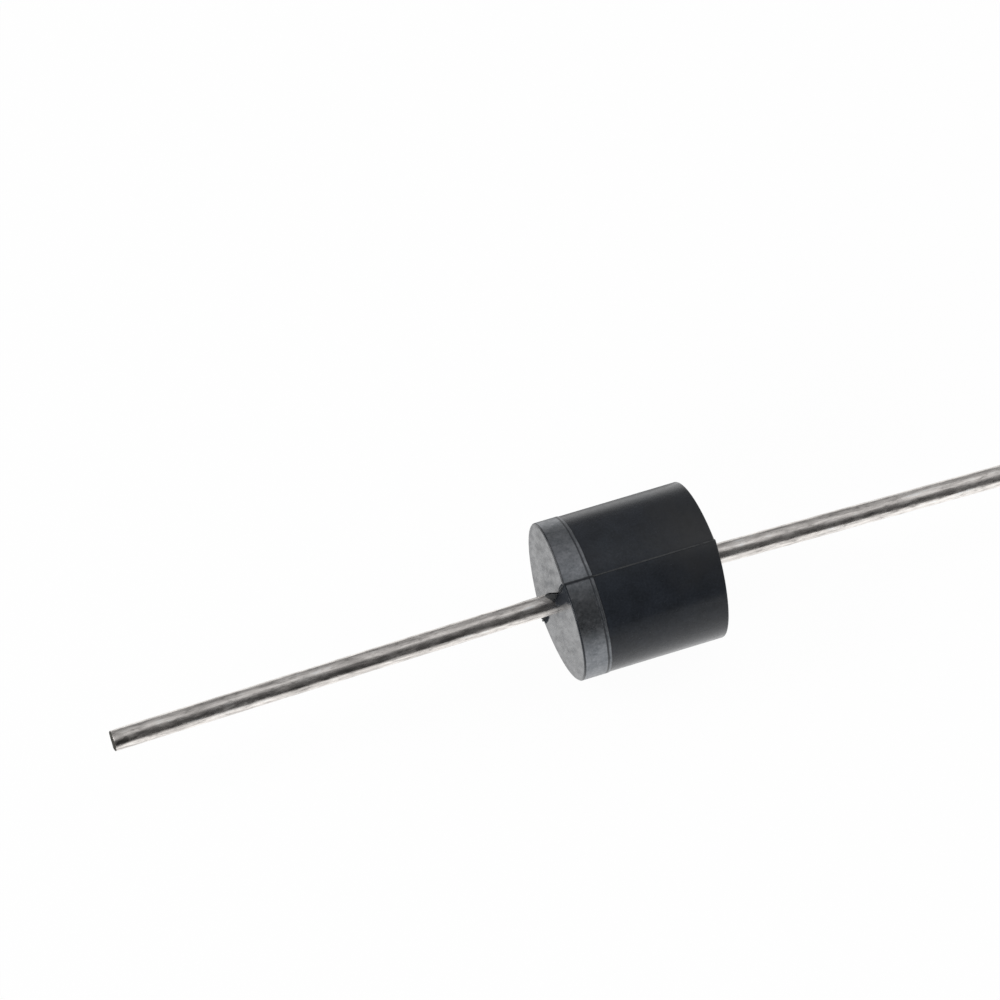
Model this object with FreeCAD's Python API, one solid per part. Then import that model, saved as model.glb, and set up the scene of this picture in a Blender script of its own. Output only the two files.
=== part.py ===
import FreeCAD, Part
import math
import os

# An axial rectifier diode: a barrel moulded round a silicon chip, on two stiff tinned wires.
# Millimetres. X runs along the wires, with the cathode at -X. Z is up as the diode lies on its barrel.
# The origin is the middle of the barrel, on its axis.

# Moulded case
CASE_DIAMETER = 9.1
CASE_LENGTH = 8.88  # between the end faces where they stand out most, at the parting plane
END_DRAFT = 2.5  # degrees that each end face leans in from the parting plane, so the mould can open
RIM_RADIUS = 0.08
PARTING_ROLL = 70.2  # degrees that the parting plane stands up from the floor, on the -Y side
MOULD_STEP = 0.06  # how far the mould's halves are out of register along X
FLASH_HEIGHT = 0.03
FLASH_THICKNESS = 0.08
# Flakes of flash left standing on the end faces: place across the face, upper side first, and height
CATHODE_FLAKES = [(-2.65, 0.04), (-2.8, 0.12), (-3.2, 0.4), (-3.6, 0.73), (-3.4, 0.9), (-2.5, 0.66),
                  (-1.6, 0.36), (-0.8, 0.1), (2.2, 0.05), (3.0, 0.12), (3.6, 0.2), (4.0, 0.05)]
ANODE_FLAKES = [(-3.9, 0.05), (-3.2, 0.09), (-2.6, 0.04), (1.2, 0.1), (2.0, 0.05)]

# Printed cathode band
BAND_WIDTH = 1.79  # from the end face at the parting plane to the band's inner edge
INK_THICKNESS = 0.03
HAIRLINE_WIDTH = 0.12  # bare line between the band and its rim of ink
HAIRLINE_RIM = 0.16
HAIRLINE_DEPTH = 0.02

# Tinned copper wires
WIRE_DIAMETER = 1.2
LEAD_LENGTH = 25.65  # from the end face to the cut end, along the wire
CATHODE_BEND = 1.28  # degrees that the cathode wire bends down outside the case
ANODE_BEND = 2.41
BEND_START = 0.9  # straight wire outside the end face, before the bend
BEND_RADIUS = 6.0
CUT_CHAMFER = 0.07
NAIL_HEAD_DIAMETER = 3.4
NAIL_HEAD_THICKNESS = 0.55
NAIL_HEAD_CONE = 0.5  # length of the taper from the head to the wire

# Chip between the nail heads
DIE_ACROSS_FLATS = 3.1
DIE_THICKNESS = 0.28
DIE_MOAT = 0.11  # bevel round the junction, on the anode side
SOLDER_DIAMETER = 2.5
SOLDER_THICKNESS = 0.07
COATING_DIAMETER = 4.1
COATING_WIDTH = 1.0
COATING_LAP = 0.06  # coating over the rim of a nail head, at its thinnest

X_AXIS = FreeCAD.Vector(1, 0, 0)
Y_AXIS = FreeCAD.Vector(0, 1, 0)
Z_AXIS = FreeCAD.Vector(0, 0, 1)
ORIGIN = FreeCAD.Vector(0, 0, 0)
CASE_RADIUS = CASE_DIAMETER / 2
WIRE_RADIUS = WIRE_DIAMETER / 2
STACK_HALF = DIE_THICKNESS / 2 + SOLDER_THICKNESS  # from the middle of the chip to a nail head
CATHODE_SIDE = -1
ANODE_SIDE = 1


def rod(diameter, x_start, x_end):
    """A round bar along X."""
    start = FreeCAD.Vector(min(x_start, x_end), 0, 0)
    return Part.makeCylinder(diameter / 2, abs(x_end - x_start), start, X_AXIS)


def plate(outline, thickness):
    """A flat plate in the XY plane, half its thickness above and half below, from its corners in order."""
    corners = [FreeCAD.Vector(x, y, -thickness / 2) for x, y in outline]
    wire = Part.makePolygon(corners + corners[:1])
    return Part.Face(wire).extrude(Z_AXIS * thickness)


def turned(profile):
    """A solid of revolution about X, from (x, radius) corners."""
    corners = [FreeCAD.Vector(x, 0, radius) for x, radius in profile]
    wire = Part.makePolygon(corners + corners[:1])
    return Part.Face(wire).revolve(ORIGIN, X_AXIS, 360)


def rolled(shape):
    """Turns a shape from the mould's own frame, where the parting plane is flat, to how the diode lies."""
    shape = shape.copy()
    shape.rotate(ORIGIN, X_AXIS, -PARTING_ROLL)
    return shape


def lean(height):
    """How far an end face leans in at a height above the parting plane."""
    return height * math.tan(math.radians(END_DRAFT))


def half_space(inset, reach):
    """The space above the parting plane between the leaning end faces, or that far inside them."""
    foot = CASE_LENGTH / 2 - inset
    crown = foot - lean(reach)
    corners = [(-foot, 0), (foot, 0), (crown, reach), (-crown, reach)]
    points = [FreeCAD.Vector(x, -reach, z) for x, z in corners]
    return Part.Face(Part.makePolygon(points + points[:1])).extrude(Y_AXIS * 2 * reach)


def both_halves(half):
    """A half and its mate below the parting plane as one solid, a little out of register as moulded."""
    half = half.copy()
    mate = half.copy()
    mate.rotate(ORIGIN, X_AXIS, 180)
    half.translate(X_AXIS * -MOULD_STEP / 2)
    mate.translate(X_AXIS * MOULD_STEP / 2)
    return half.fuse(mate).removeSplitter()


def barrel():
    """The round body with its leaning end faces and rounded rims."""
    half = half_space(0, CASE_RADIUS).common(rod(CASE_DIAMETER, -CASE_LENGTH, CASE_LENGTH))
    rims = [edge for edge in half.Edges if not isinstance(edge.Curve, Part.Line)]
    return both_halves(half.makeFillet(RIM_RADIUS, rims))


def parting_flash(cover=0):
    """The thin sheet of resin that stands out all round the parting plane, or the same sheet under ink."""
    face = CASE_LENGTH / 2 + MOULD_STEP / 2
    end = face + FLASH_HEIGHT
    edge = CASE_RADIUS + FLASH_HEIGHT + cover
    low_end = end - RIM_RADIUS
    low_edge = edge - RIM_RADIUS
    cathode = [(-face - height, across) for across, height in CATHODE_FLAKES]
    anode = [(face + height, across) for across, height in ANODE_FLAKES]
    outline = [(-low_end, -edge), (-end, -low_edge)] + cathode + [(-end, low_edge), (-low_end, edge)]
    outline += [(low_end, edge), (end, low_edge)] + anode[::-1] + [(end, -low_edge), (low_end, -edge)]
    return plate(outline, FLASH_THICKNESS + 2 * cover)


def lead(side, bend_angle):
    """A wire with its nail head: straight through the case, a slight bend, then straight to its cut end."""
    head_face = side * STACK_HALF
    head_back = head_face + side * NAIL_HEAD_THICKNESS
    cone_end = head_back + side * NAIL_HEAD_CONE
    bend = side * (CASE_LENGTH / 2 + BEND_START)
    head = turned([(head_face, 0), (head_face, NAIL_HEAD_DIAMETER / 2), (head_back, NAIL_HEAD_DIAMETER / 2),
                   (cone_end, WIRE_RADIUS), (cone_end, 0)])
    inner = rod(WIRE_DIAMETER, head_face, bend)
    section = Part.Face(Part.Wire(Part.makeCircle(WIRE_RADIUS, FreeCAD.Vector(bend, 0, 0), X_AXIS)))
    bend_centre = FreeCAD.Vector(bend, 0, -BEND_RADIUS)
    elbow = section.revolve(bend_centre, Y_AXIS * side, bend_angle)
    end_run = LEAD_LENGTH - BEND_START - BEND_RADIUS * math.radians(bend_angle)
    run = Part.makeCylinder(WIRE_RADIUS, end_run, FreeCAD.Vector(bend, 0, 0), X_AXIS * side)
    run = run.makeChamfer(CUT_CHAMFER, [end_edge(run, side)])
    run.rotate(bend_centre, Y_AXIS * side, bend_angle)
    return head.fuse([inner, elbow, run]).removeSplitter()


def end_edge(run, side):
    """The round edge at the far end of a straight wire."""
    rings = [edge for edge in run.Edges if isinstance(edge.Curve, Part.Circle)]
    return max(rings, key=lambda edge: side * edge.CenterOfMass.x)


def hexagon(across_flats, x):
    """A hexagonal wire square to X."""
    radius = across_flats / math.sqrt(3)
    angles = [math.radians(60 * step) for step in range(6)]
    corners = [FreeCAD.Vector(x, radius * math.cos(angle), radius * math.sin(angle)) for angle in angles]
    return Part.makePolygon(corners + corners[:1])


def silicon_die():
    """The hexagonal chip: full size on its cathode face, bevelled down to the junction on its anode face."""
    low = CATHODE_SIDE * DIE_THICKNESS / 2
    high = ANODE_SIDE * DIE_THICKNESS / 2
    base = Part.Face(hexagon(DIE_ACROSS_FLATS, low)).extrude(X_AXIS * (DIE_THICKNESS - DIE_MOAT))
    foot = hexagon(DIE_ACROSS_FLATS, high - DIE_MOAT)
    top = hexagon(DIE_ACROSS_FLATS - 2 * DIE_MOAT, high)
    mesa = Part.makeLoft([foot, top], True)
    return base.fuse(mesa).removeSplitter()


def solder_disc(side):
    """The solder between the chip and a nail head."""
    return rod(SOLDER_DIAMETER, side * DIE_THICKNESS / 2, side * STACK_HALF)


def junction_coating(enclosed):
    """The bulging ring of soft coating that seals the chip's edge and laps over the nail heads' rims."""
    half = COATING_WIDTH / 2
    rim = NAIL_HEAD_DIAMETER / 2 + COATING_LAP
    left_foot = FreeCAD.Vector(-half, 0, 0)
    left_rim = FreeCAD.Vector(-half, 0, rim)
    crest = FreeCAD.Vector(0, 0, COATING_DIAMETER / 2)
    right_rim = FreeCAD.Vector(half, 0, rim)
    right_foot = FreeCAD.Vector(half, 0, 0)
    bulge = Part.Arc(left_rim, crest, right_rim).toShape()
    straights = Part.makePolygon([right_rim, right_foot, left_foot, left_rim]).Edges
    ring = Part.Face(Part.Wire([bulge] + straights)).revolve(ORIGIN, X_AXIS, 360)
    return ring.cut(enclosed)


def case(enclosed):
    """The moulded body, with the space that the pieces inside it fill."""
    return rolled(barrel().fuse(parting_flash())).cut(enclosed)


def cathode_band(body):
    """The printed ring of ink from the rim at the cathode end, with a hairline before its far edge."""
    outer = CASE_RADIUS + INK_THICKNESS
    end = -CASE_LENGTH / 2
    inner_edge = end + BAND_WIDTH
    line_end = inner_edge - HAIRLINE_RIM
    line_start = line_end - HAIRLINE_WIDTH
    over_flash = rolled(parting_flash(INK_THICKNESS)).common(rod(2 * CASE_DIAMETER, end, inner_edge))
    ink = rod(2 * outer, end, inner_edge).fuse(over_flash)
    under_line = rod(2 * (outer - HAIRLINE_DEPTH), line_start, line_end)
    line = rod(2 * CASE_DIAMETER, line_start, line_end).cut(under_line)
    ring = ink.cut([rod(CASE_DIAMETER, end, inner_edge), line, body])
    return ring.common(rolled(both_halves(half_space(RIM_RADIUS, CASE_DIAMETER))))


def build():
    """Every piece of the diode, by name."""
    pieces = {
        "cathode_lead": lead(CATHODE_SIDE, CATHODE_BEND),
        "anode_lead": lead(ANODE_SIDE, ANODE_BEND),
        "silicon_die": silicon_die(),
        "cathode_solder": solder_disc(CATHODE_SIDE),
        "anode_solder": solder_disc(ANODE_SIDE),
    }
    stack = list(pieces.values())
    pieces["junction_coating"] = junction_coating(stack)
    pieces["case"] = case(stack + [pieces["junction_coating"]])
    pieces["cathode_band"] = cathode_band(pieces["case"])
    return pieces


os.makedirs("parts", exist_ok=True)
for name, shape in build().items():
    shape.exportStep("parts/" + name + ".step")
    print(name, "solids:", len(shape.Solids), "valid:", shape.isValid(), "mm3:", round(shape.Volume, 3))
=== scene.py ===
import math

import bmesh
import bpy
from mathutils import Matrix, Vector, noise

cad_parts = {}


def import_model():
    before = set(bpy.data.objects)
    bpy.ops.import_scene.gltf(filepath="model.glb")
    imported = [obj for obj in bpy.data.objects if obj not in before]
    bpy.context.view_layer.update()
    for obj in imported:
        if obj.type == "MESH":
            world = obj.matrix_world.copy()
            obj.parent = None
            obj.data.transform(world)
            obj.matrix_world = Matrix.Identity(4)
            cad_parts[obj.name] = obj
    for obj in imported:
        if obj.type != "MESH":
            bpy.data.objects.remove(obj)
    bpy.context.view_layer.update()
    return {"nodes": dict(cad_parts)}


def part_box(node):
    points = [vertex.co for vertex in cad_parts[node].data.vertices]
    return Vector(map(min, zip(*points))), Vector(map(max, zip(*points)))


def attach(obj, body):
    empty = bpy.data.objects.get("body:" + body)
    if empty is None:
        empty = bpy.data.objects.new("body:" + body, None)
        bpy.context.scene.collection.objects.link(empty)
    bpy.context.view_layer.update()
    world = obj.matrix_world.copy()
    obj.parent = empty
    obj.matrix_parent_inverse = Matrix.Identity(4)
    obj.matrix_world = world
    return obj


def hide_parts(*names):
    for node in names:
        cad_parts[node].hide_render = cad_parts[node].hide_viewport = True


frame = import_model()

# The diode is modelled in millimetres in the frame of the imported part, and each finished mesh is scaled
# to metres. X runs along the wires with the cathode at -X, and Z is up as the diode lies on its barrel.
# The mould's own frame is the same, turned about X so that the parting plane is flat.
MILLIMETRE = 0.001
MM_PER_METRE = 1000.0

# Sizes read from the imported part
CASE_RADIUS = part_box("case")[1].z * MM_PER_METRE
COATING_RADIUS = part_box("junction_coating")[1].z * MM_PER_METRE
COATING_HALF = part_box("junction_coating")[1].x * MM_PER_METRE
STACK_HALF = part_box("anode_solder")[1].x * MM_PER_METRE
NAIL_HEAD_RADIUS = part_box("anode_lead")[1].z * MM_PER_METRE
BAND_INNER_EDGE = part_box("cathode_band")[1].x * MM_PER_METRE
INK_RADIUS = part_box("cathode_band")[1].z * MM_PER_METRE
FLOOR_HEIGHT = -INK_RADIUS

# Moulded case, in sizes that its box doesn't give
CASE_LENGTH = 8.88
END_DRAFT = math.radians(2.5)
RIM_RADIUS = 0.08
PARTING_ROLL = math.radians(70.2)
MOULD_STEP = 0.06  # how far the mould's halves are out of register along X
ROUGH_LENGTH = CASE_LENGTH + 1  # the barrel before its ends are cut
BARREL_SEGMENTS = 192
RIM_STEPS = 4
RIM_INSET = 0.03
LOOKS_ALONG = 0.9  # a face looks along an axis if more of its normal than this points that way
RIM_FACE_CORNERS = 8  # a face with more corners than this isn't part of a rounded rim

# Flash, with the flakes at each end as (place across, height off the face) points
FLASH_FACE = CASE_LENGTH / 2 + MOULD_STEP / 2
FLASH_HEIGHT = 0.03
FLASH_THICKNESS = 0.08
CATHODE_FLAKES = [(-2.65, 0.04), (-2.8, 0.12), (-3.2, 0.4), (-3.6, 0.73), (-3.4, 0.9), (-2.5, 0.66),
                  (-1.6, 0.36), (-0.8, 0.1), (2.2, 0.05), (3.0, 0.12), (3.6, 0.2), (4.0, 0.05)]
ANODE_FLAKES = [(-3.9, 0.05), (-3.2, 0.09), (-2.6, 0.04), (1.2, 0.1), (2.0, 0.05)]
TRIMMED_HEIGHT = 0.005  # what is left of the flash on the anode face, by the rim
TEAR_STEP = 0.07  # length of torn edge between two points of its outline
TEAR_SHARE = 0.0045  # the most that a point is torn back, as a share of its distance from the middle
TEAR_SCALES = (5, 11)
CURL_START = 0.05  # height above which a flake curls and thins
CURL_SLOPE = 0.06
CURL_WAVER = 0.05
CURL_SCALE = 3
FLAKE_THINNING = 0.5

# Hollow round the chip and the nail heads
BORE_CLEARANCE = 0.004
BULGE_HALF = 0.4
BULGE_STEP = 0.1

# Finishes of the case's faces, in the order of its materials, and what tells the faces apart
BARREL, TORN, END_FACE, INKED_RIM, CREST = range(5)
BARREL_END = FLASH_FACE - MOULD_STEP
SHEET_HALF = FLASH_THICKNESS / 2 + 0.0005
FLAKE_START = FLASH_FACE + 0.01
END_FACE_LOOK = 0.95
RIM_END = 2 * RIM_RADIUS - CASE_LENGTH / 2
RIM_LOOK = -0.1

# Printed band
HAIRLINE_WIDTH = 0.12
HAIRLINE_RIM = 0.16
HAIRLINE_DEPTH = 0.02
HAIRLINE_SLOPE = 0.035
BAND_SKEW = 0.13  # how far the inner edge was printed askew, at either side
BAND_SETBACK = 0.075
BAND_WANDER = 0.02
BAND_WANDER_SCALE = 7
BAND_SEGMENTS = 720
BAND_STEP = 0.11  # width of band between two rings of its mesh
INK_SUNK = 0.01  # how far the ring reaches into the case
INK_FEATHER = 0.02  # width over which the ink thins out at an edge
OUTER_EDGE_DROP = 0.004
INNER_EDGE_DROP = 0.012
SEAM_BARE = 0.055  # how far from the seam its crest stays bare of ink
SEAM_BARE_WAVER = 0.03
SEAM_BARE_SCALE = 3
SEAM_FEATHER = 0.05
SEAM_INK = 0.05  # share of the ink that the crest still takes
SEAM_RIDGE = FLASH_THICKNESS * 0.9

# Wires
WIRE_RADIUS = 0.6
LEAD_LENGTH = 25.65
CATHODE_BEND = math.radians(1.28)
ANODE_BEND = math.radians(2.41)
BEND_START = 0.9
BEND_RADIUS = 6.0
NAIL_HEAD_THICKNESS = 0.55
NAIL_HEAD_CONE = 0.5
NAIL_HEAD_ROUND = 0.03
HEAD_BACK = STACK_HALF + NAIL_HEAD_THICKNESS
CONE_END = HEAD_BACK + NAIL_HEAD_CONE
WIRE_TIP = CASE_LENGTH / 2 + LEAD_LENGTH
WIRE_SEGMENTS = 48
WIRE_STEP = 0.12  # length of wire between two rings of its mesh
WIRE_WAVINESS = 0.006  # how far the drawn and handled surface stands in or out
WAVES = [(1.0, 0.9, 1.1, 9), (0.25, 2.6, 2.3, 5)]  # share, scale along, scale round, and shift by side
WAVES_FADE_IN = 0.3
BURR = 0.02  # how far the torn lip stands out from the cut end
BURR_PLACE = 0.3  # where the lip lies round the wire, from its underside, in radians
BURR_REACH = 0.5
PINCH_LENGTH = 1.5  # length over which the shears pressed the wire down
PINCH_DEPTH = 0.17
ROUND_OF_CUT = 0.08  # length over which the wire narrows to its cut end
# The rings of the cut end, each with how far back it is from the cut and its radius
CUT_RINGS = [(0.03, WIRE_RADIUS - 0.02), (0.0, WIRE_RADIUS - 0.07), (0.0, WIRE_RADIUS * 0.6), (0.0, 0.0)]
SHEARED = 1  # place of the sheared end's finish among a wire's materials
SHEARED_LENGTH = 0.06
LIP_RADIUS = WIRE_RADIUS * 0.7  # radius outside which the cut end's edge is drawn out to the torn lip
LIP_LENGTH = 0.01

MERGE_DISTANCE = 1e-4
CUT_DISTANCE = MERGE_DISTANCE / 10
SMOOTH_LIMIT = math.radians(32)


# Mesh helpers

def scene_object(name, bm):
    """A new object at the origin with this bmesh as its mesh."""
    mesh = bpy.data.meshes.new(name)
    bm.to_mesh(mesh)
    bm.free()
    made = bpy.data.objects.new(name, mesh)
    bpy.context.scene.collection.objects.link(made)
    return made


def combined(base, tool, operation):
    """The base with the tool joined to it or cut out of it."""
    body = scene_object("base", base)
    cutter = scene_object("tool", tool)
    modifier = body.modifiers.new("combine", "BOOLEAN")
    modifier.object = cutter
    modifier.operation = operation
    modifier.solver = "EXACT"
    result = bmesh.new()
    result.from_object(body, bpy.context.evaluated_depsgraph_get())
    for used in (body, cutter):
        mesh = used.data
        bpy.data.objects.remove(used)
        bpy.data.meshes.remove(mesh)
    return result


def finished(name, bm, materials, node):
    """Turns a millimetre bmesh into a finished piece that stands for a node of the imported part."""
    bmesh.ops.remove_doubles(bm, verts=bm.verts[:], dist=MERGE_DISTANCE)
    bmesh.ops.recalc_face_normals(bm, faces=bm.faces[:])
    bmesh.ops.scale(bm, vec=(MILLIMETRE, MILLIMETRE, MILLIMETRE), verts=bm.verts[:])
    for face in bm.faces:
        face.smooth = True
    made = scene_object(name, bm)
    made.data.set_sharp_from_angle(angle=SMOOTH_LIMIT)
    for material in materials:
        made.data.materials.append(material)
    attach(made, "root")
    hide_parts(node)
    return made


def turned(bm, angle):
    """Turns a mesh about X."""
    bmesh.ops.rotate(bm, cent=(0, 0, 0), matrix=Matrix.Rotation(angle, 3, "X"), verts=bm.verts[:])
    return bm


def spun(profile, segments, closed=False):
    """A mesh of revolution about X from (x, radius) points."""
    bm = bmesh.new()
    verts = [bm.verts.new((x, 0, radius)) for x, radius in profile]
    pairs = list(zip(verts, verts[1:]))
    if closed:
        pairs.append((verts[-1], verts[0]))
    edges = [bm.edges.new(pair) for pair in pairs]
    bmesh.ops.spin(bm, geom=verts + edges, cent=(0, 0, 0), axis=(1, 0, 0), angle=2 * math.pi,
                   steps=segments, use_merge=True)
    bmesh.ops.remove_doubles(bm, verts=bm.verts[:], dist=MERGE_DISTANCE)
    bmesh.ops.recalc_face_normals(bm, faces=bm.faces[:])
    return bm


def spread(start, end, step):
    """Evenly spaced values from start to end, about a step apart."""
    count = max(1, round(abs(end - start) / step))
    return [start + (end - start) * index / count for index in range(count + 1)]


# Moulded case

def lean(height):
    """How far an end face leans in at a height above or below the parting plane."""
    return abs(height) * math.tan(END_DRAFT)


def mould_half():
    """Half the barrel, above the parting plane, with leaning end faces and rounded rims."""
    bm = bmesh.new()
    bmesh.ops.create_cone(bm, cap_ends=True, segments=BARREL_SEGMENTS, radius1=CASE_RADIUS,
                          radius2=CASE_RADIUS, depth=ROUGH_LENGTH,
                          matrix=Matrix.Rotation(math.pi / 2, 4, "Y"))
    planes = [((0, 0, 0), (0, 0, -1))]
    for end in (-1, 1):
        normal = (end * math.cos(END_DRAFT), 0, math.sin(END_DRAFT))
        planes.append(((end * CASE_LENGTH / 2, 0, 0), normal))
    for place, normal in planes:
        cut = bmesh.ops.bisect_plane(bm, geom=bm.verts[:] + bm.edges[:] + bm.faces[:], dist=CUT_DISTANCE,
                                     plane_co=place, plane_no=normal, clear_outer=True)
        border = [item for item in cut["geom_cut"] if isinstance(item, bmesh.types.BMEdge)]
        bmesh.ops.holes_fill(bm, edges=border, sides=0)
    bm.normal_update()
    rims = [edge for edge in bm.edges if len(edge.link_faces) == 2
            and sum(abs(face.normal.x) > LOOKS_ALONG for face in edge.link_faces) == 1
            and all(face.normal.z > -LOOKS_ALONG for face in edge.link_faces)]
    bmesh.ops.bevel(bm, geom=rims, offset=RIM_RADIUS, segments=RIM_STEPS, profile=0.5,
                    affect="EDGES", material=-1)
    bm.normal_update()
    ends = [face for face in bm.faces
            if abs(face.normal.x) > math.cos(2 * END_DRAFT) and len(face.verts) > RIM_FACE_CORNERS]
    bmesh.ops.inset_region(bm, faces=ends, thickness=RIM_INSET, use_even_offset=True)
    return bm


def flash_outline():
    """The corners of the sheet of flash, round the barrel and over the flakes at both ends."""
    end = FLASH_FACE + FLASH_HEIGHT
    edge = CASE_RADIUS + FLASH_HEIGHT
    low_end = end - RIM_RADIUS
    low_edge = edge - RIM_RADIUS
    trimmed = FLASH_FACE + TRIMMED_HEIGHT
    cathode = [(-FLASH_FACE - height, across) for across, height in CATHODE_FLAKES]
    anode = [(FLASH_FACE + height, across) for across, height in ANODE_FLAKES]
    cathode_side = [(-low_end, -edge), (-end, -low_edge)] + cathode + [(-end, low_edge), (-low_end, edge)]
    anode_side = [(low_end, edge), (trimmed, low_edge)] + anode[::-1]
    anode_side += [(trimmed, -low_edge), (low_end, -edge)]
    return cathode_side + anode_side


def flash():
    """The thin, ragged sheet of resin that stands out round the parting plane, in the mould's frame."""
    outline = flash_outline()
    bm = bmesh.new()
    corners = []
    for (x, y), (next_x, next_y) in zip(outline, outline[1:] + outline[:1]):
        for share in spread(0, 1, TEAR_STEP / math.hypot(next_x - x, next_y - y))[:-1]:
            place = Vector((x + (next_x - x) * share, y + (next_y - y) * share, -FLASH_THICKNESS / 2))
            ragged = sum(abs(noise.noise(place * scale)) for scale in TEAR_SCALES)
            torn = TEAR_SHARE * min(1.0, ragged)
            place.x *= 1 - torn
            place.y *= 1 - torn
            corners.append(bm.verts.new(place))
    sheet = bm.faces.new(corners)
    grown = bmesh.ops.extrude_face_region(bm, geom=[sheet])
    top = [item for item in grown["geom"] if isinstance(item, bmesh.types.BMVert)]
    bmesh.ops.translate(bm, vec=(0, 0, FLASH_THICKNESS), verts=top)
    bmesh.ops.triangulate(bm, faces=bm.faces[:])
    for vert in bm.verts:
        stand = abs(vert.co.x) - FLASH_FACE - CURL_START
        if stand > 0:
            waver = noise.noise(Vector((0, vert.co.y * CURL_SCALE, 0)))
            curl = CURL_SLOPE * stand + CURL_WAVER * stand * waver
            thin = 1 - FLAKE_THINNING * min(1.0, stand)
            vert.co.z = vert.co.z * thin - curl
    bmesh.ops.recalc_face_normals(bm, faces=bm.faces[:])
    return bm


def enclosed_space():
    """What the wires, nail heads, chip and coating fill inside the case."""
    bore = WIRE_RADIUS + BORE_CLEARANCE
    reach = CASE_LENGTH
    right = [(COATING_HALF, NAIL_HEAD_RADIUS), (HEAD_BACK, NAIL_HEAD_RADIUS), (CONE_END, bore),
             (reach, bore), (reach, 0)]
    left = [(-x, radius) for x, radius in reversed(right)]
    rise = COATING_RADIUS - NAIL_HEAD_RADIUS
    bulge = [(x, NAIL_HEAD_RADIUS + rise * math.cos(x / COATING_HALF * math.pi / 2))
             for x in spread(-BULGE_HALF, BULGE_HALF, BULGE_STEP)]
    return spun(left + bulge + right, WIRE_SEGMENTS * 2)


def face_finish(face):
    """Which finish a face of the case gets, by its place and look in the mould's frame."""
    x, y, z = face.calc_center_median()
    outside = abs(x) > BARREL_END or math.hypot(y, z) > CASE_RADIUS
    thin_sheet = abs(z) < SHEET_HALF and outside
    if thin_sheet and abs(x) < BARREL_END:
        return CREST
    if thin_sheet or abs(x) > FLAKE_START:
        return TORN
    if abs(face.normal.x) > END_FACE_LOOK:
        return END_FACE
    if x < RIM_END and z > 0 and face.normal.x < RIM_LOOK:
        return INKED_RIM
    return BARREL


def moulded_case():
    """The case: both mould halves and the flash in one, hollowed round what it encloses."""
    upper = mould_half()
    lower = turned(upper.copy(), math.pi)
    bmesh.ops.translate(upper, vec=(-MOULD_STEP / 2, 0, 0), verts=upper.verts[:])
    bmesh.ops.translate(lower, vec=(MOULD_STEP / 2, 0, 0), verts=lower.verts[:])
    solid = combined(upper, flash(), "UNION")
    solid = combined(solid, lower, "UNION")
    solid = combined(solid, enclosed_space(), "DIFFERENCE")
    solid.normal_update()
    for face in solid.faces:
        face.material_index = face_finish(face)
    finishes = [barrel_resin(), torn_resin(), end_resin(), inked_rim(), seam_crest()]
    return finished("moulded_case", turned(solid, -PARTING_ROLL), finishes, "case")


# Printed band

def band_profile(end):
    """Points of the band's section, each with its place along X, its radius and how far ink covers it."""
    line_end = BAND_INNER_EDGE - HAIRLINE_RIM
    line_start = line_end - HAIRLINE_WIDTH
    low = INK_RADIUS - HAIRLINE_DEPTH
    inner = CASE_RADIUS - INK_SUNK
    broad = spread(end + 2 * INK_FEATHER, line_start - INK_FEATHER, BAND_STEP)
    return [(end, inner, 0.0),
            (end, INK_RADIUS - OUTER_EDGE_DROP, 0.0),
            (end + 1.5 * INK_FEATHER, INK_RADIUS, 0.9),
            *((x, INK_RADIUS, 1.0) for x in broad),
            (line_start, INK_RADIUS, 0.4),
            (line_start + HAIRLINE_SLOPE, low, 0.18),
            (line_end - HAIRLINE_SLOPE, low, 0.18),
            (line_end, INK_RADIUS, 0.4),
            (line_end + INK_FEATHER, INK_RADIUS, 0.9),
            (BAND_INNER_EDGE - 2 * INK_FEATHER, INK_RADIUS, 0.9),
            (BAND_INNER_EDGE - INK_FEATHER, INK_RADIUS, 0.3),
            (BAND_INNER_EDGE, INK_RADIUS - INNER_EDGE_DROP, 0.0),
            (BAND_INNER_EDGE, inner, 0.0)]


def printed_band():
    """The ring of ink, which follows the mould's halves and their seam and was printed a little askew."""
    end = -CASE_LENGTH / 2 + RIM_RADIUS
    profile = band_profile(end)
    bm = spun([(x, radius) for x, radius, covered in profile], BAND_SEGMENTS, closed=True)
    cover = bm.verts.layers.float.new("ink_cover")
    for vert in bm.verts:
        x, y, z = vert.co
        radius = math.hypot(y, z)
        nearest = min(profile, key=lambda point: abs(point[0] - x) + abs(point[1] - radius))
        seam_width = SEAM_BARE + SEAM_BARE_WAVER * noise.noise(Vector((x * SEAM_BARE_SCALE, y, 0)))
        on_side = min(1.0, max(0.0, (abs(z) - seam_width) / SEAM_FEATHER))
        vert[cover] = nearest[2] * (SEAM_INK + (1 - SEAM_INK) * on_side)
    for vert in bm.verts:
        x, y, z = vert.co
        angle = math.atan2(z, y)
        towards_body = (x - end) / (BAND_INNER_EDGE - end)
        round_case = Vector((BAND_WANDER_SCALE * math.cos(angle), BAND_WANDER_SCALE * math.sin(angle), 3))
        askew = BAND_WANDER * noise.noise(round_case) - BAND_SETBACK - BAND_SKEW * z / CASE_RADIUS
        step = -MOULD_STEP / 2 * max(-1.0, min(1.0, z / (FLASH_THICKNESS / 2)))
        vert.co.x += (1 - towards_body) * (lean(z) + step) + towards_body * askew
        ridge = max(0.0, 1 - (z / SEAM_RIDGE) ** 2)
        grow = 1 + FLASH_HEIGHT * ridge / CASE_RADIUS
        vert.co.y *= grow
        vert.co.z *= grow
    return finished("printed_band", turned(bm, -PARTING_ROLL), [ink()], "cathode_band")


# Wires

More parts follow.
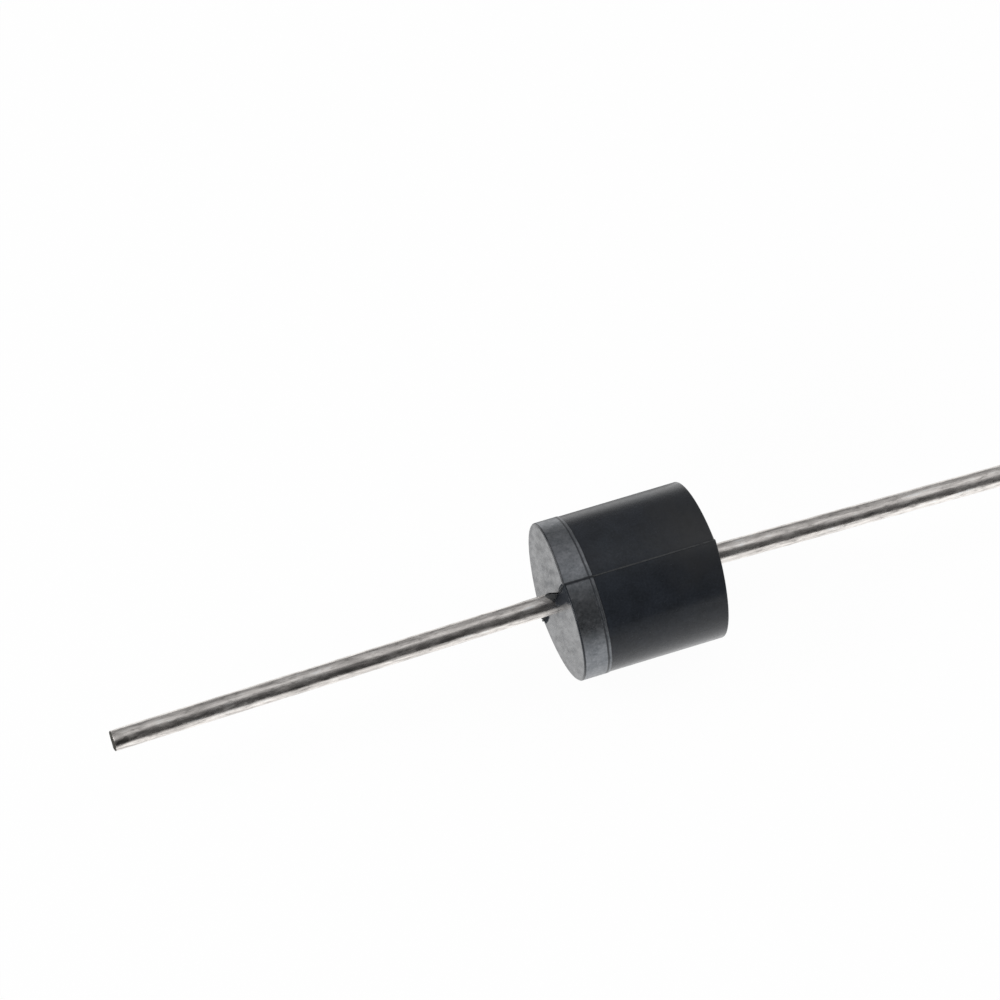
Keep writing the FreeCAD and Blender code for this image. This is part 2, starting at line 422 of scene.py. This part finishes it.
def bent(point, side, bend_angle):
    """Where a point of the straight wire lies once the wire is bent down outside the case."""
    start = CASE_LENGTH / 2 + BEND_START
    run = side * point.x - start
    if run <= 0:
        return point
    turn = min(run / BEND_RADIUS, bend_angle)
    after = run - turn * BEND_RADIUS
    centre = Vector((side * start, 0, -BEND_RADIUS))
    flat = Vector((side * after, point.y, point.z + BEND_RADIUS))
    return centre + Matrix.Rotation(side * turn, 3, "Y") @ flat


def swell(run, angle, side):
    """How far the wire's surface stands in or out at a place along and round it."""
    height = 0.0
    for share, scale_along, scale_round, shift in WAVES:
        place = Vector((run * scale_along, scale_round * math.cos(angle),
                        scale_round * math.sin(angle) + shift * side))
        height += share * noise.noise(place)
    return WIRE_WAVINESS * height


def wire(name, side, bend_angle, node):
    """A wire with its nail head, straight through the case, with a slight bend and a sheared end."""
    cut = WIRE_TIP - BURR
    rim = NAIL_HEAD_RADIUS - NAIL_HEAD_ROUND
    profile = [(STACK_HALF, 0), (STACK_HALF, rim), (STACK_HALF + NAIL_HEAD_ROUND, NAIL_HEAD_RADIUS),
               (HEAD_BACK - NAIL_HEAD_ROUND, NAIL_HEAD_RADIUS), (HEAD_BACK, rim)]
    profile += [(x, WIRE_RADIUS) for x in spread(CONE_END, cut - ROUND_OF_CUT, WIRE_STEP)]
    profile += [(cut - back, radius) for back, radius in CUT_RINGS]
    bm = spun([(side * x, radius) for x, radius in profile], WIRE_SEGMENTS)
    outside = FLASH_FACE + FLASH_HEIGHT
    for face in bm.faces:
        if side * face.calc_center_median().x > cut - SHEARED_LENGTH:
            face.material_index = SHEARED
    for vert in bm.verts:
        run = side * vert.co.x
        angle = math.atan2(vert.co.z, vert.co.y)
        if outside < run < cut - ROUND_OF_CUT / 2:
            fade = min(1.0, (run - outside) / WAVES_FADE_IN)
            grow = 1 + fade * swell(run, angle, side) / WIRE_RADIUS
            vert.co.y *= grow
            vert.co.z *= grow
        pressed = max(0.0, 1 - (cut - run) / PINCH_LENGTH)
        vert.co.z -= PINCH_DEPTH * pressed ** 2 * max(0.0, vert.co.z) / WIRE_RADIUS
        if run > cut - LIP_LENGTH and math.hypot(vert.co.y, vert.co.z) > LIP_RADIUS:
            lip = max(0.0, 1 - abs(angle + math.pi / 2 - side * BURR_PLACE) / BURR_REACH)
            vert.co.x += side * BURR * lip
    for vert in bm.verts:
        vert.co = bent(vert.co, side, bend_angle)
    return finished(name, bm, [tinned_wire(side), sheared_end()], node)


# Materials

RESIN_IOR = 1.47


class Shading:
    """Adds nodes to one node tree and links them."""

    def __init__(self, tree):
        self.tree = tree

    def add(self, kind, **settings):
        """A new node of a kind, with its settings."""
        node = self.tree.nodes.new(kind)
        for key, value in settings.items():
            setattr(node, key, value)
        return node

    def link(self, output, target):
        """Links one socket to another."""
        self.tree.links.new(output, target)

    def fill(self, socket, value):
        """Links a socket to an output, or sets it to a number or an (r, g, b)."""
        if isinstance(value, bpy.types.NodeSocket):
            self.link(value, socket)
        elif isinstance(value, tuple):
            socket.default_value = (*value, 1)
        else:
            socket.default_value = value

    def math(self, operation, *values):
        """The result of a Math node for values that are sockets or numbers."""
        node = self.add("ShaderNodeMath", operation=operation)
        for socket, value in zip(node.inputs, values):
            self.fill(socket, value)
        return node.outputs[0]

    def ranged(self, value, low, high, to_low=0.0, to_high=1.0):
        """Maps a value from one range to another, and stops at its ends."""
        node = self.add("ShaderNodeMapRange")
        for name, limit in (("From Min", low), ("From Max", high), ("To Min", to_low), ("To Max", to_high)):
            node.inputs[name].default_value = limit
        self.link(value, node.inputs["Value"])
        return node.outputs["Result"]

    def ramp(self, value, stops):
        """Maps a value through (position, colour or grey) stops."""
        node = self.add("ShaderNodeValToRGB")
        elements = node.color_ramp.elements
        while len(elements) < len(stops):
            elements.new(0.5)
        for element, (position, tone) in zip(elements, stops):
            element.position = position
            element.color = (*((tone,) * 3 if isinstance(tone, float) else tone), 1)
        self.link(value, node.inputs["Fac"])
        return node.outputs["Color"]

    def show(self, share, first, second, kind):
        """Sends two shaders, mixed by a share, to an output node of a kind."""
        mixed = self.add("ShaderNodeMixShader")
        for socket, value in zip(mixed.inputs, (share, first, second)):
            self.link(value, socket)
        self.link(mixed.outputs[0], self.add(kind).inputs["Surface"])


class Finish(Shading):
    """The material of one piece."""

    def __init__(self, name):
        self.material = bpy.data.materials.new(name)
        self.material.use_nodes = True
        super().__init__(self.material.node_tree)
        self.shader = self.tree.nodes["Principled BSDF"]
        self.place = self.add("ShaderNodeTexCoord").outputs["Object"]

    def stretched(self, scale, turn=0.0, centre=(0, 0, 0)):
        """Object coordinates for a pattern about a centre, longer by a scale per axis, turned about X."""
        mapping = self.add("ShaderNodeMapping", vector_type="TEXTURE")
        mapping.inputs["Location"].default_value = centre
        mapping.inputs["Rotation"].default_value = (turn, 0, 0)
        mapping.inputs["Scale"].default_value = scale
        self.link(self.place, mapping.inputs["Vector"])
        return mapping.outputs["Vector"]

    def noise(self, size_mm, detail=2.0, roughness=0.5, vector=None):
        """A cloud pattern whose blotches are about that many millimetres across."""
        node = self.add("ShaderNodeTexNoise")
        node.inputs["Scale"].default_value = MM_PER_METRE / size_mm
        node.inputs["Detail"].default_value = detail
        node.inputs["Roughness"].default_value = roughness
        self.link(vector or self.place, node.inputs["Vector"])
        return node.outputs["Fac"]

    def mix(self, factor, first, second, blend="MIX"):
        """Mixes two colours, each a socket or an (r, g, b)."""
        node = self.add("ShaderNodeMix", data_type="RGBA", blend_type=blend)
        for index, value in ((0, factor), (6, first), (7, second)):
            self.fill(node.inputs[index], value)
        return node.outputs[2]

    def near(self, centre_mm, reach_mm, ragged, grain_mm, turn=0.0, soft=0.25):
        """One at a place, falling to nothing at an ellipsoid about it, turned about X, with a ragged edge."""
        centre = [value * MILLIMETRE for value in centre_mm]
        reach = [value * MILLIMETRE for value in reach_mm]
        distance = self.add("ShaderNodeVectorMath", operation="LENGTH")
        self.link(self.stretched(reach, turn, centre), distance.inputs[0])
        grain = self.noise(grain_mm, 3, 0.6)
        rough = self.math("MULTIPLY_ADD", grain, ragged, distance.outputs["Value"])
        return self.ranged(rough, 1 + ragged / 2, 1 - soft + ragged / 2)

    def bump(self, height, strength, depth_mm, normal=None):
        """A normal that stands for a relief of a depth, over another relief where one is given."""
        node = self.add("ShaderNodeBump")
        node.inputs["Strength"].default_value = strength
        node.inputs["Distance"].default_value = depth_mm * MILLIMETRE
        self.link(height, node.inputs["Height"])
        if normal:
            self.link(normal, node.inputs["Normal"])
        return node.outputs["Normal"]

    def set(self, **values):
        """Sets or links the shader's inputs, named with underscores for spaces."""
        for key, value in values.items():
            self.fill(self.shader.inputs[key.replace("_", " ")], value)


def on_case(x, across, off):
    """A place on the moulding, from its place along, across and off the parting plane."""
    return Matrix.Rotation(-PARTING_ROLL, 3, "X") @ Vector((x, across, off))


def resin(name):
    """Black filled moulding resin with a fine mottle, and its base colour."""
    m = Finish(name)
    cloud = m.ramp(m.noise(1.1, 3), [(0.35, (0.018, 0.021, 0.026)), (0.65, (0.023, 0.027, 0.034))])
    speck = m.ramp(m.noise(0.12, 4, 0.6), [(0.3, 0.8), (0.7, 1.25)])
    m.set(IOR=RESIN_IOR, Specular_Tint=(0.6, 0.6, 0.6))
    return m, m.mix(1.0, cloud, speck, "MULTIPLY")


def barrel_resin():
    """The barrel's soft sheen, with a paler patch on top, by the plain end."""
    m, colour = resin("black_moulding_resin")
    # A paler base colour on top of the barrel, towards the plain end.
    paler_top = m.near((3.6, -0.6, 4.0), (3.2, 4.2, 2.6), ragged=0.8, grain_mm=1.0, soft=0.9)
    m.set(Base_Color=m.mix(paler_top, colour, (0.029, 0.030, 0.032)),
          Roughness=m.ramp(m.noise(0.25, 4, 0.6), [(0.3, 0.17), (0.7, 0.28)]),
          Specular_IOR_Level=m.ramp(m.noise(0.32, 4, 0.6), [(0.3, 0.42), (0.7, 0.58)]))
    coarse = m.bump(m.noise(0.4, 3), 0.35, 0.010)
    m.set(Normal=m.bump(m.noise(0.1, 3, 0.6), 0.35, 0.006, coarse))
    return m.material


def end_resin():
    """The flat end faces, glossier at a low angle, with painted shade where the upper flake of flash shadows
    the face and along its root, and a dark, dull wedge by the lower flake.
    """
    m, colour = resin("black_end_face_resin")

    def patch(across, off, reach_mm, ragged, grain_mm, tilt=0.0, soft=0.25):
        """A patch of the cathode's end face, by its place in the mould's frame."""
        centre = on_case(-CASE_LENGTH / 2, across, off)
        return m.near(centre, reach_mm, ragged, grain_mm, tilt - PARTING_ROLL, soft)

    # Painted shade: the face is made dark and dull where the upper flake shadows it, out to the rim, and in a
    # thin line along the flake's root.
    flake_shadow = patch(-2.6, -0.36, (1.0, 2.6, 0.36), 0.2, 0.35, tilt=math.radians(8))
    corner = patch(-4.7, -0.5, (1.0, 1.6, 0.64), 0.2, 0.35)
    flake_root_shade = patch(-3.7, 0.06, (1.0, 1.0, 0.12), 0.2, 0.25)
    # A dark, dull wedge of the face by the lower flake of flash; no resin is cut away here.
    chip = patch(3.4, -0.08, (0.8, 1.15, 0.26), 0.5, 0.25)
    middle = patch(-0.5, 0.5, (2.0, 4.5, 2.2), 0.3, 0.8, soft=0.9)
    drawn_out = m.stretched((1, 1, 3), math.radians(31))
    stains = m.ramp(m.noise(0.5, 5, 0.65, drawn_out), [(0.35, 0.0), (0.75, 0.26)])
    worn = m.mix(middle, stains, (0.14, 0.14, 0.14), "ADD")
    # The painted shade of the upper flake, in one mask.
    broken = m.math("MAXIMUM", m.math("MAXIMUM", flake_shadow, corner), flake_root_shade)
    # The painted flake shade and the dark wedge by the lower flake, over the stains and the duller middle, as
    # one mask that turns the face dull and dark.
    torn = m.mix(chip, m.mix(broken, worn, (0.93, 0.93, 0.93)), (1.0, 1.0, 1.0))
    sheen = m.ramp(m.noise(0.25, 4, 0.6, drawn_out), [(0.3, 0.52), (0.7, 0.76)])
    smooth = m.ramp(m.noise(0.3, 5, 0.6, drawn_out), [(0.3, 0.09), (0.7, 0.25)])
    m.set(Base_Color=colour,
          Roughness=m.mix(torn, smooth, (0.8, 0.8, 0.8)),
          Specular_IOR_Level=m.mix(torn, sheen, (0.05, 0.05, 0.05)))
    coarse = m.bump(m.noise(0.6, 3, 0.5, drawn_out), 0.15, 0.010)
    m.set(Normal=m.bump(m.noise(0.2, 3, 0.6, drawn_out), 0.15, 0.006, coarse))
    return m.material


def torn_resin():
    """Flash: rough and dull, with paler broken edges."""
    m = Finish("torn_resin")
    tones = [(0.35, (0.004, 0.005, 0.007)), (0.52, (0.014, 0.017, 0.019)), (0.72, (0.06, 0.066, 0.07))]
    m.set(Base_Color=m.ramp(m.noise(0.22, 4, 0.65), tones),
          Roughness=m.ramp(m.noise(0.15, 3), [(0.3, 0.45), (0.7, 0.75)]),
          Specular_IOR_Level=0.35,
          IOR=RESIN_IOR)
    m.set(Normal=m.bump(m.noise(0.14, 4, 0.65), 0.8, 0.02))
    return m.material


def inked_rim():
    """The upper rim of the banded end, with a mist of ink over the resin."""
    m = Finish("inked_rim_resin")
    tones = [(0.35, (0.05, 0.052, 0.056)), (0.65, (0.13, 0.133, 0.14))]
    m.set(Base_Color=m.ramp(m.noise(0.3, 4, 0.6), tones),
          Roughness=0.5, Specular_IOR_Level=0.4, IOR=RESIN_IOR)
    m.set(Normal=m.bump(m.noise(0.12, 3), 0.4, 0.006))
    return m.material


def seam_crest():
    """The fine crest of flash along the barrel, paler where its edge broke away."""
    m = Finish("seam_crest_resin")
    tones = [(0.35, (0.028, 0.030, 0.033)), (0.7, (0.07, 0.073, 0.076))]
    m.set(Base_Color=m.ramp(m.noise(0.3, 4, 0.65), tones),
          Roughness=0.6, Specular_IOR_Level=0.35, IOR=RESIN_IOR)
    m.set(Normal=m.bump(m.noise(0.14, 3), 0.3, 0.006))
    return m.material


def ink():
    """Thin grey printing ink, mottled, and bare along the hairline and the seam."""
    m = Finish("grey_printing_ink")
    cover = m.add("ShaderNodeAttribute", attribute_name="ink_cover").outputs["Fac"]
    tone = m.ramp(m.noise(0.6, 5, 0.6), [(0.3, (0.160, 0.173, 0.187)), (0.7, (0.266, 0.275, 0.293))])
    speck = m.ramp(m.noise(0.14, 4, 0.65), [(0.3, 0.78), (0.7, 1.22)])
    printed = m.mix(1.0, tone, speck, "MULTIPLY")
    m.set(Base_Color=m.mix(cover, (0.012, 0.014, 0.018), printed),
          Metallic=m.ramp(cover, [(0.0, 0.0), (1.0, 0.95)]),
          Roughness=m.ramp(m.noise(0.2, 4), [(0.3, 0.27), (0.7, 0.42)]),
          Specular_IOR_Level=0.35,
          IOR=RESIN_IOR)
    m.set(Normal=m.bump(m.noise(0.12, 4, 0.6), 0.5, 0.006))
    return m.material


def tinned_wire(side):
    """Satin tin plate on drawn wire, with lines along it, dull patches, dents and a nick by its end."""
    m = Finish("tin_plated_wire")
    lines = m.noise(0.13, 4, 0.65, m.stretched((16, 1, 1)))
    flecks = m.noise(0.16, 4, 0.65, m.stretched((3, 1, 1)))
    patches = m.noise(0.8, 4, 0.65, m.stretched((2.5, 1, 1)))
    tone = m.ramp(patches, [(0.3, (0.68, 0.645, 0.615)), (0.55, (0.95, 0.905, 0.865)),
                            (0.8, (1.0, 0.975, 0.945))])
    streak = m.ramp(lines, [(0.33, 0.64), (0.66, 1.16)])
    fleck = m.ramp(flecks, [(0.3, 0.54), (0.45, 0.95), (0.7, 1.12)])
    worn = m.mix(1.0, m.mix(1.0, tone, streak, "MULTIPLY"), fleck, "MULTIPLY")
    nick_place = (side * (WIRE_TIP - 0.45), -0.46, -0.13)
    nick = m.near(nick_place, (1.0, 0.22, 0.24), ragged=1.1, grain_mm=0.3, soft=0.5)
    m.set(Base_Color=m.mix(nick, worn, (0.24, 0.23, 0.22)),
          Metallic=1.0,
          Roughness=m.ramp(m.noise(0.3, 4, 0.65, m.stretched((3.3, 1, 1))), [(0.3, 0.15), (0.7, 0.42)]))
    drawn = m.bump(lines, 0.5, 0.004)
    dented = m.bump(m.noise(0.5, 3, 0.55, m.stretched((2.2, 1, 1))), 0.5, 0.010, drawn)
    m.set(Normal=m.bump(flecks, 0.5, 0.005, dented))
    return m.material


def sheared_end():
    """The bare, torn metal where a wire was cut."""
    m = Finish("sheared_wire_end")
    grain = m.noise(0.07, 4, 0.6, m.stretched((1, 3.3, 1)))
    m.set(Base_Color=m.ramp(grain, [(0.3, (0.035, 0.035, 0.032)), (0.7, (0.14, 0.135, 0.122))]),
          Metallic=0.2, Roughness=0.9, Specular_IOR_Level=0.0)
    m.set(Normal=m.bump(grain, 0.3, 0.006))
    return m.material


def enclosed_finish(name, size_mm, detail, darker, paler, **values):
    """A softly clouded finish for a piece that is sealed inside the case."""
    m = Finish(name)
    m.set(Base_Color=m.ramp(m.noise(size_mm, detail), [(0.3, darker), (0.7, paler)]), **values)
    return m.material


def inner_materials():
    """Finishes of the pieces sealed inside the case."""
    silicon = enclosed_finish("polished_silicon", 0.6, 2, (0.2, 0.21, 0.25), (0.3, 0.31, 0.36),
                              Metallic=0.6, Roughness=0.15)
    solder = enclosed_finish("dull_solder", 0.3, 4, (0.45, 0.45, 0.47), (0.62, 0.62, 0.64),
                             Metallic=1.0, Roughness=0.4)
    coating = enclosed_finish("milky_silicone", 0.5, 3, (0.66, 0.64, 0.58), (0.78, 0.76, 0.7),
                              Roughness=0.35)
    return {"silicon_die": silicon, "cathode_solder": solder, "anode_solder": solder,
            "junction_coating": coating}


# Stage, in metres

FLOOR_SIZE = 4.0
FLOOR_TONE = (0.86, 0.86, 0.86)
CAMERA_WHITE = 1.012  # how bright the paper is to the camera
GLOW_SHARE = 0.955  # how much of what the camera and mirrors see of the paper is its own white
# How brightly the paper is mirrored in the diode, by its place along Y
PAPER_GLOW = [(-0.15, 0.50), (-0.05, 0.94), (-0.03, 1.04), (-0.018, 1.02), (-0.012, 0.98), (-0.008, 1.06),
              (0.0, 1.06), (0.012, 0.98), (0.018, 1.06), (0.024, 1.05), (0.030, 0.95), (0.055, 0.60),
              (0.10, 0.38)]
# How far the barrel's own shade dims that, along Y, and how far a place is clear of the shade, along X
BARREL_SHADE = [(0.002, 1.0), (0.0075, 0.36), (0.012, 0.40), (0.017, 1.0)]
CLEAR_OF_SHADE = [(-0.0048, 1.0), (-0.0040, 0.0), (0.0062, 0.0), (0.0070, 1.0)]
# How far the dimmer paper at the left front is dimmed, along Y, and how far a place is clear of it, along X
LEFT_FRONT = [(-0.15, 0.30), (-0.05, 0.42), (-0.025, 0.72), (-0.014, 1.0)]
CLEAR_OF_LEFT = [(0.006, 0.0), (0.015, 1.0)]

# The room's tones from the camera's side, through overhead, to behind the diode
ROOM_TONES = [(0.0, 0.05), (0.146, 0.06), (0.235, 0.085), (0.33, 0.15), (0.396, 0.25), (0.456, 0.47),
              (0.52, 0.68), (0.60, 0.65), (0.75, 0.50), (0.86, 0.40), (0.935, 0.33), (1.0, 0.25)]
ROOM_BLUE = 1.01
ROOM_HALF = 0.5  # half the span of the tones, and their middle
ROOM_TIP = {"low": 0.15, "high": 0.4, "to_low": ROOM_HALF, "to_high": 0.59}  # shift of the middle along X
ROOM_SIDEWAYS = 0.6
ROOM_STRENGTH = 0.92

LAMP_SIZE = 0.3
# Each lamp's name, place and power
LAMPS = [("key", (-0.6, 0.15, 0.45), 1.4), ("fill", (0.65, 0.1, 0.45), 0.6),
         ("front", (-0.6, -0.38, 0.22), 2.8)]

CAMERA_AZIMUTH = math.radians(19.347)
CAMERA_ELEVATION = math.radians(57.201)
CAMERA_DISTANCE = 0.250
CAMERA_LENS = 161.3
CAMERA_CLIP = 0.01
AIM_RIGHT = -0.007135
AIM_UP = 0.004513


def floor():
    """The white paper under the diode, with the diode's shadow, and how it is mirrored in the diode."""
    bm = bmesh.new()
    bmesh.ops.create_grid(bm, x_segments=1, y_segments=1, size=FLOOR_SIZE / 2)
    bmesh.ops.translate(bm, vec=(0, 0, FLOOR_HEIGHT * MILLIMETRE), verts=bm.verts[:])
    made = scene_object("floor", bm)
    material = bpy.data.materials.new("white_floor")
    material.use_nodes = True
    paper = Shading(material.node_tree)
    paper.tree.nodes.clear()
    split = paper.add("ShaderNodeSeparateXYZ")
    paper.link(paper.add("ShaderNodeTexCoord").outputs["Object"], split.inputs[0])

    def along(axis, tones):
        """A grey that changes along X or Y through (place, grey) stops."""
        first, last = tones[0][0], tones[-1][0]
        share = paper.ranged(split.outputs[axis], first, last)
        return paper.ramp(share, [((spot - first) / (last - first), tone) for spot, tone in tones])

    path = paper.add("ShaderNodeLightPath")
    to_camera, to_mirror = path.outputs["Is Camera Ray"], path.outputs["Is Glossy Ray"]
    shaded = paper.math("MAXIMUM", along("Y", BARREL_SHADE), along("X", CLEAR_OF_SHADE))
    dimmer = paper.math("MAXIMUM", along("Y", LEFT_FRONT), along("X", CLEAR_OF_LEFT))
    bright = paper.math("MULTIPLY", along("Y", PAPER_GLOW), paper.math("MULTIPLY", shaded, dimmer))
    mirrored = paper.math("MULTIPLY", to_mirror, bright)
    white = paper.math("MULTIPLY", to_camera, CAMERA_WHITE)
    glow = paper.add("ShaderNodeEmission")
    paper.fill(glow.inputs["Strength"], paper.math("MAXIMUM", white, mirrored))
    plain = paper.add("ShaderNodeBsdfDiffuse")
    paper.fill(plain.inputs["Color"], FLOOR_TONE)
    share = paper.math("MULTIPLY", paper.math("MAXIMUM", to_camera, to_mirror), GLOW_SHARE)
    paper.show(share, plain.outputs[0], glow.outputs[0], "ShaderNodeOutputMaterial")
    made.data.materials.append(material)


def world():
    """A pale room behind and above the diode, darker on the camera's side, and white to the camera."""
    made = bpy.data.worlds.new("studio")
    bpy.context.scene.world = made
    made.use_nodes = True
    sky = Shading(made.node_tree)
    sky.tree.nodes.clear()
    split = sky.add("ShaderNodeSeparateXYZ")
    sky.link(sky.add("ShaderNodeTexCoord").outputs["Generated"], split.inputs[0])
    tipped = sky.ranged(split.outputs["X"], **ROOM_TIP)
    depth = sky.math("MULTIPLY_ADD", split.outputs["Y"], ROOM_HALF, tipped)
    tones = [(position, (tone, tone, tone * ROOM_BLUE)) for position, tone in ROOM_TONES]
    room = sky.add("ShaderNodeBackground")
    sky.fill(room.inputs["Color"], sky.ramp(depth, tones))
    strength = sky.math("MULTIPLY_ADD", split.outputs["X"], ROOM_SIDEWAYS, ROOM_STRENGTH)
    sky.fill(room.inputs["Strength"], strength)
    white = sky.add("ShaderNodeBackground")
    sky.fill(white.inputs["Color"], (1, 1, 1))
    to_camera = sky.add("ShaderNodeLightPath").outputs["Is Camera Ray"]
    sky.show(to_camera, room.outputs[0], white.outputs[0], "ShaderNodeOutputWorld")


def lamp(name, place, power):
    """A soft square lamp that points at the diode."""
    data = bpy.data.lights.new(name, "AREA")
    data.size = LAMP_SIZE
    data.energy = power
    made = bpy.data.objects.new(name, data)
    made.location = place
    made.rotation_euler = (-Vector(place)).to_track_quat("-Z", "Y").to_euler()
    bpy.context.scene.collection.objects.link(made)


def camera():
    """The photograph's view: over the banded end, looking steeply down."""
    right = Vector((math.cos(CAMERA_AZIMUTH), -math.sin(CAMERA_AZIMUTH), 0))
    level = Vector((math.sin(CAMERA_AZIMUTH), math.cos(CAMERA_AZIMUTH), 0))
    forward = level * math.cos(CAMERA_ELEVATION) - Vector((0, 0, math.sin(CAMERA_ELEVATION)))
    up = right.cross(forward)
    aim = right * AIM_RIGHT + up * AIM_UP
    data = bpy.data.cameras.new("photo_camera")
    data.lens = CAMERA_LENS
    data.clip_start = CAMERA_CLIP
    made = bpy.data.objects.new("photo_camera", data)
    turn = Matrix((right, up, -forward)).transposed().to_4x4()
    made.matrix_world = Matrix.Translation(aim - forward * CAMERA_DISTANCE) @ turn
    bpy.context.scene.collection.objects.link(made)
    bpy.context.scene.camera = made


moulded_case()
printed_band()
wire("cathode_wire", -1, CATHODE_BEND, "cathode_lead")
wire("anode_wire", 1, ANODE_BEND, "anode_lead")
for node_name, finish in inner_materials().items():
    cad = frame["nodes"][node_name]
    cad.data.materials.clear()
    cad.data.materials.append(finish)

floor()
world()
for lamp_name, lamp_place, lamp_power in LAMPS:
    lamp(lamp_name, lamp_place, lamp_power)
camera()
bpy.context.scene.view_settings.view_transform = "Standard"
